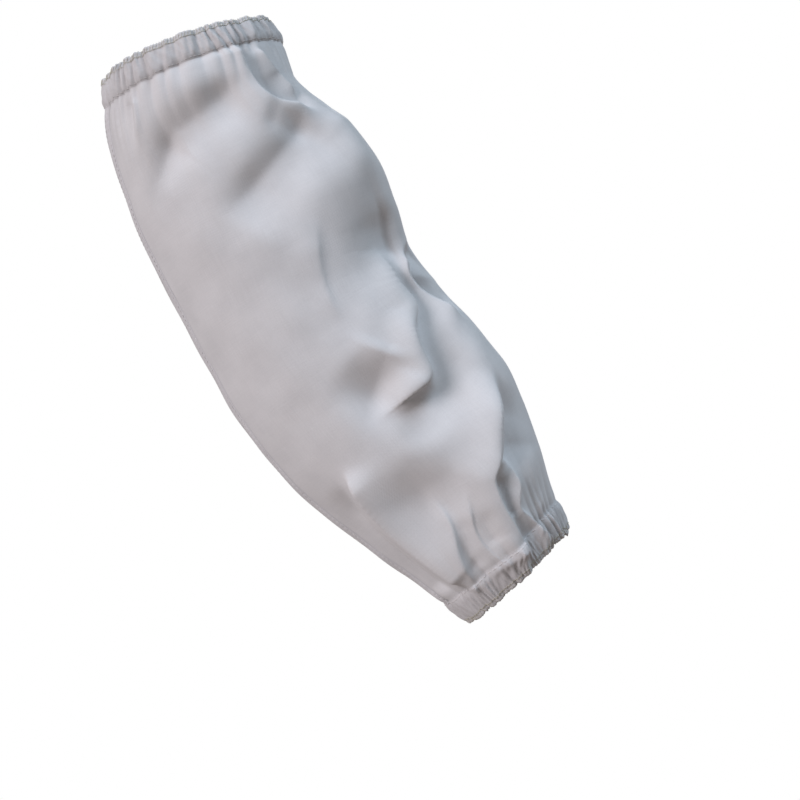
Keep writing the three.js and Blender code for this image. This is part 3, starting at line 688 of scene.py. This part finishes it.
# Round thread along lines of points, given as an array (lines, points, 3).
def tubeAlong(lines, radius, sides):
    run = np.gradient(lines, axis=1)
    run /= np.maximum(np.linalg.norm(run, axis=-1, keepdims=True), 1e-9)
    aside = np.cross(run, np.array([0.31, 0.22, 0.92]))
    aside /= np.maximum(np.linalg.norm(aside, axis=-1, keepdims=True), 1e-9)
    lift = np.cross(run, aside)
    angles = np.linspace(0, 2 * math.pi, sides, endpoint=False)
    ring = aside[:, :, None] * np.cos(angles)[:, None] + lift[:, :, None] * np.sin(angles)[:, None]
    points = lines[:, :, None] + radius * ring
    count, steps = lines.shape[:2]
    faces = []
    for n in range(count):
        base = n * steps * sides
        faces += [tuple(base + i for i in f) for f in ringQuads(steps, sides)]
        faces.append(tuple(base + i for i in range(sides)))
        faces.append(tuple(base + (steps - 1) * sides + i for i in reversed(range(sides))))
    return points.reshape(-1, 3), faces


threadForm = {
    "overlockPitch": 1.9,
    "overlockDepth": 0.19,  # share of the casing's width
    "overlockRadius": 0.17,
    "stitchPitch": 2.9,
    "stitchLength": 2.0,
    "stitchRadius": 0.26,
    "sides": 5,
    "bow": 0.35,  # mm that a stitch arches between its two holes
    "sink": 0.25,  # mm that its ends lie in the cloth
    "seat": 0.07,  # the share of the casing's width at which the stitches run
}


def mouthGirth(end):
    turn = np.linspace(0, 1, 721)
    loop = plainPoint(np.full_like(turn, 0.0 if end == "upper" else 1.0), turn)
    return np.linalg.norm(np.diff(loop, axis=0), axis=1).sum()


# Each point's place on the thread, from where it lies on the sleeve.
def threadPlace(points):
    return np.stack([points[:, 0] + points[:, 1], points[:, 2]], -1)


# A zigzag of thread that wraps the raw edge of a mouth, with a line along its foot.
def makeOverlock(name, end):
    count = int(mouthGirth(end) / threadForm["overlockPitch"])
    steps = 9
    t = np.linspace(0, 1, steps)[None, :]
    start = (np.arange(count) / count)[:, None]
    # out over the edge and back: outside foot, edge, inside foot
    depth = threadForm["overlockDepth"]
    across = 1 - depth * np.abs(2 * t - 1) + 0 * start
    side = np.where(t < 0.5, 1, -1)
    turn = start + (t * 0.55 + 0.25 * np.sin(np.pi * t)) / count
    outside, inside = casingPoint(end, across, turn, 1), casingPoint(end, across, turn, -1)
    middle = (outside + inside) / 2
    points = np.where(side[..., None] > 0, outside, inside)
    away = points - middle
    away /= np.maximum(np.linalg.norm(away, axis=-1, keepdims=True), 0.3)
    lines = points + away * threadForm["overlockRadius"] * 0.7
    lines[:, steps // 2, 2] += 0.35 * (1 if end == "upper" else -1)
    foot = np.linspace(0, 1, count * 3 + 1)[None, :]
    wobble = 1 - depth * (1 + 0.10 * np.sin(2 * np.pi * count * foot))
    footLine = casingPoint(end, wobble, foot, 1)
    footLine = footLine + plainNormal(np.full_like(foot, 0.02 if end == "upper" else 0.98), foot) * 0.2
    points, faces = tubeAlong(lines, threadForm["overlockRadius"], threadForm["sides"])
    more, moreFaces = tubeAlong(footLine, threadForm["overlockRadius"], threadForm["sides"])
    faces += [tuple(i + len(points) for i in f) for f in moreFaces]
    points = np.vstack([points, more])
    return makePiece(name, points, faces, overlockThread, threadPlace(points))


# Short stitches that lie in the fold of the cloth under a casing.
def makeStitchLine(name, end, across, lift):
    girth = mouthGirth(end) * 1.1
    count = int(girth / threadForm["stitchPitch"])
    share = threadForm["stitchLength"] / threadForm["stitchPitch"]
    t = np.linspace(0, 1, 6)[None, :]
    turn = (np.arange(count)[:, None] + t * share) / count
    lines = casingPoint(end, np.full_like(turn, across), turn, 1)
    height = lift + threadForm["bow"] * np.sin(np.pi * t) - threadForm["sink"]
    edge = np.full_like(turn, across * sleeveForm[end + "CasingWidth"] / sleeveLength)
    lines = lines + plainNormal(edge if end == "upper" else 1 - edge, turn) * height[..., None]
    points, faces = tubeAlong(lines, threadForm["stitchRadius"], threadForm["sides"])
    return makePiece(name, points, faces, stitchThread, threadPlace(points))


upperOverlock = makeOverlock("upper_overlock", "upper")
wristOverlock = makeOverlock("wrist_overlock", "wrist")
upperStitches = makeStitchLine("upper_stitches", "upper", threadForm["seat"], 0.1)
wristStitches = makeStitchLine("wrist_stitches", "wrist", threadForm["seat"], 0.1)
print("threads made")

# The felled seam down the outer side, with two lines of stitches.
seamForm = {
    "turn": 0.045,  # its middle
    "width": 9.0,
    "thickness": 1.3,
    "rootDepth": 0.2,  # mm that its underside lies in the cloth
    "lap": 1.0,  # mm that it runs on under each casing
    "rows": 420,
    "columns": 15,
    "stitchInset": 1.7,
    "stitchPitch": 3.1,
    "stitchSpan": (0.14, 0.86),  # the part of each pitch where the thread shows
    "stitchSink": 0.4,
    "stitchRadius": 0.17,
    "stitchBow": 0.25,
    "dip": 0.35,  # mm that a line of stitches draws the cloth in
    "dipWidth": 0.12,  # a share of half the seam's width
    "pucker": 0.22,
}
seamHalf = seamForm["width"] / 2 / clothGirth
seamStart = (sleeveForm["upperCasingWidth"] - seamForm["lap"]) / sleeveLength
seamEnd = 1 - (sleeveForm["wristCasingWidth"] - seamForm["lap"]) / sleeveLength
stitchShare = 1 - seamForm["stitchInset"] / (seamForm["width"] / 2)


# The strip's faces: the top, the underside, and the narrow edges between them.
def stripFaces(rows, columns):
    base = rows * columns
    faces = [tuple(reversed(f)) for f in ringQuads(rows, columns, closed=False)]
    faces += [tuple(base + i for i in f) for f in ringQuads(rows, columns, closed=False)]
    for r in range(rows - 1):
        near, far = r * columns, (r + 1) * columns
        for c, flip in ((0, True), (columns - 1, False)):
            quad = (near + c, far + c, base + far + c, base + near + c)
            faces.append(tuple(reversed(quad)) if flip else quad)
    for c in range(columns - 1):
        for r, flip in ((0, False), (rows - 1, True)):
            here = r * columns + c
            quad = (here, here + 1, base + here + 1, base + here)
            faces.append(tuple(reversed(quad)) if flip else quad)
    return faces


def makeSeam():
    along = np.linspace(seamStart, seamEnd, seamForm["rows"])[:, None]
    share = np.linspace(-1, 1, seamForm["columns"])[None, :]
    turn = seamForm["turn"] + seamHalf * share
    e = 0.0006
    face = clothPoint(along, turn)
    down = clothPoint(along + e, turn) - clothPoint(along - e, turn)
    around = clothPoint(along, turn + e) - clothPoint(along, turn - e)
    out = np.cross(down, around)
    out /= np.linalg.norm(out, axis=-1, keepdims=True)
    dip = np.exp(-(((np.abs(share) - stitchShare) / seamForm["dipWidth"]) ** 2))
    pucker = np.sin(2 * np.pi * along * sleeveLength / seamForm["stitchPitch"])
    swell = np.sqrt(np.clip(1 - share**6, 0, 1))
    rise = seamForm["thickness"] * swell - dip * (seamForm["dip"] + seamForm["pucker"] * pucker)
    rise = rise + 0.15 * np.sin(along * sleeveLength / 5.3 + 2 * share) * swell
    top = face + out * rise[..., None]
    under = face - out * seamForm["rootDepth"]
    points = np.vstack([top.reshape(-1, 3), under.reshape(-1, 3)])
    place = np.broadcast_arrays(share * seamForm["width"] / 2, along * sleeveLength)
    place = np.stack(place, -1).reshape(-1, 2)
    maps = np.vstack([place, place])
    return makePiece("side_seam_fell", points, stripFaces(*top.shape[:2]), seamCotton, maps)


def makeSeamStitches():
    count = int((seamEnd - seamStart) * sleeveLength / seamForm["stitchPitch"])
    first, last = seamForm["stitchSpan"]
    t = np.linspace(first, last, 6)[None, :]
    spots = seamStart + (np.arange(count)[:, None] + t) / count * (seamEnd - seamStart)
    bow = seamForm["stitchBow"] * np.sin(np.pi * (t - first) / (last - first))
    lift = seamForm["thickness"] - seamForm["stitchSink"] + bow + 0 * spots
    lines = []
    for side in (-stitchShare, stitchShare):
        turn = np.full_like(spots, seamForm["turn"] + seamHalf * side)
        lines.append(clothPoint(spots, turn) + plainNormal(spots, turn) * lift[..., None])
    points, faces = tubeAlong(np.vstack(lines), seamForm["stitchRadius"], threadForm["sides"])
    return makePiece(
        "side_seam_stitches", points, faces, stitchThread, threadPlace(points)
    )


sideSeam = makeSeam()
seamStitches = makeSeamStitches()
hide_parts("side_seam")
print("seam made")

# The photograph's view: level with the sleeve, and rolled so that the sleeve runs from the upper
# left to the lower right.
photoView = {
    "upperMouthPixel": (188, 52),
    "wristMouthPixel": (520, 574),
    "middlePixel": (400, 400),
    "metresPerPixel": 0.00066,
    "distance": 1.15,
    "sensorWidth": 36,  # mm
}


def makeCamera():
    scale = photoView["metresPerPixel"]
    upper, wrist, middle = (photoView[k] for k in ("upperMouthPixel", "wristMouthPixel", "middlePixel"))
    roll = math.atan2(wrist[0] - upper[0], wrist[1] - upper[1])
    right = Vector((math.cos(roll), 0, -math.sin(roll)))
    up = Vector((math.sin(roll), 0, math.cos(roll)))
    across, rise = (middle[0] - upper[0]) * scale, (upper[1] - middle[1]) * scale
    lens = bpy.data.cameras.new("photoCamera")
    lens.sensor_width = photoView["sensorWidth"]
    lens.lens = photoView["sensorWidth"] / 2 * photoView["distance"] / (middle[0] * scale)
    camera = bpy.data.objects.new("photoCamera", lens)
    bpy.context.scene.collection.objects.link(camera)
    stand = Matrix((right, up, Vector((0, -1, 0)))).transposed().to_4x4()
    stand.translation = right * across + up * rise + Vector((0, -photoView["distance"], 0))
    camera.matrix_world = stand
    bpy.context.scene.camera = camera
    return right, up


pictureRight, pictureUp = makeCamera()

studio = {
    "key": {"power": 2.9, "colour": (1.0, 0.957, 1.0), "way": (-0.73, 0.24, 0.62), "softness": 28},
    "fill": {"power": 2.42, "colour": (0.67, 0.84, 1.0), "way": (0.24, 0.92, 0.3), "softness": 30},
    "back": {"power": 1.3, "colour": (1.0, 0.97, 0.95), "way": (-0.15, 0.3, -0.95), "softness": 40},
    "skyBelow": (0.23, 0.18, 0.15),
    "skyAbove": (0.26, 0.26, 0.26),
    "floorHeight": -1.05,
    "floorSize": 1.5,
    "floorBounce": (0.26, 0.21, 0.18),  # what the floor throws back onto the sleeve
    "floorSeen": (0.88, 0.87, 0.86),
}


# A broad soft light. way is the picture's right, up and towards the viewer.
def makeSoftSun(name, power, colour, way, softness):
    light = bpy.data.lights.new(name, "SUN")
    light.energy, light.color, light.angle = power, colour, math.radians(softness)
    lamp = bpy.data.objects.new(name, light)
    bpy.context.scene.collection.objects.link(lamp)
    towards = pictureRight * way[0] + pictureUp * way[1] + Vector((0, -1, 0)) * way[2]
    lamp.rotation_mode = "QUATERNION"
    lamp.rotation_quaternion = towards.to_track_quat("Z", "Y")


def makeSky():
    world = bpy.data.worlds.new("studioSky")
    bpy.context.scene.world = world
    world.use_nodes = True
    tree = world.node_tree
    glow = tree.nodes["Background"]
    towards = addNode(tree, "ShaderNodeTexCoord")
    height = addNode(tree, "ShaderNodeVectorMath", operation="DOT_PRODUCT")
    height.inputs[1].default_value = tuple(pictureUp)
    spread = addNode(tree, "ShaderNodeMapRange")
    spread.inputs["From Min"].default_value = -1
    spread.inputs["From Max"].default_value = 0.6
    tree.links.new(towards.outputs["Generated"], height.inputs[0])
    tree.links.new(height.outputs["Value"], spread.inputs["Value"])
    colour = addColourMix(tree, studio["skyBelow"], studio["skyAbove"], spread.outputs["Result"])
    tree.links.new(colour, glow.inputs["Color"])
    # the camera sees plain white behind the sleeve
    rays = addNode(tree, "ShaderNodeLightPath")
    white = addNode(tree, "ShaderNodeBackground")
    white.inputs["Color"].default_value = (1, 1, 1, 1)
    choose = addNode(tree, "ShaderNodeMixShader")
    tree.links.new(rays.outputs["Is Camera Ray"], choose.inputs[0])
    tree.links.new(glow.outputs[0], choose.inputs[1])
    tree.links.new(white.outputs[0], choose.inputs[2])
    tree.links.new(choose.outputs[0], tree.nodes["World Output"].inputs["Surface"])


def makeFloor():
    half = studio["floorSize"] / 2
    mesh = bpy.data.meshes.new("floor")
    corners = [(-half, -half, 0), (half, -half, 0), (half, half, 0), (-half, half, 0)]
    mesh.from_pydata(corners, [], [(0, 1, 2, 3)])
    floor = bpy.data.objects.new("floor", mesh)
    floor.location = (0, 0, studio["floorHeight"])
    bpy.context.scene.collection.objects.link(floor)
    material = bpy.data.materials.new("paleFloor")
    material.use_nodes = True
    tree = material.node_tree
    shader = tree.nodes["Principled BSDF"]
    shader.inputs["Roughness"].default_value = 0.8
    rays = addNode(tree, "ShaderNodeLightPath")
    colour = addColourMix(tree, studio["floorBounce"], studio["floorSeen"], rays.outputs["Is Camera Ray"])
    tree.links.new(colour, shader.inputs["Base Color"])
    mesh.materials.append(material)


for lightName in ("key", "fill", "back"):
    light = studio[lightName]
    makeSoftSun(lightName, light["power"], light["colour"], light["way"], light["softness"])
makeSky()
makeFloor()
bpy.context.scene.view_settings.view_transform = "Standard"
print("studio made")
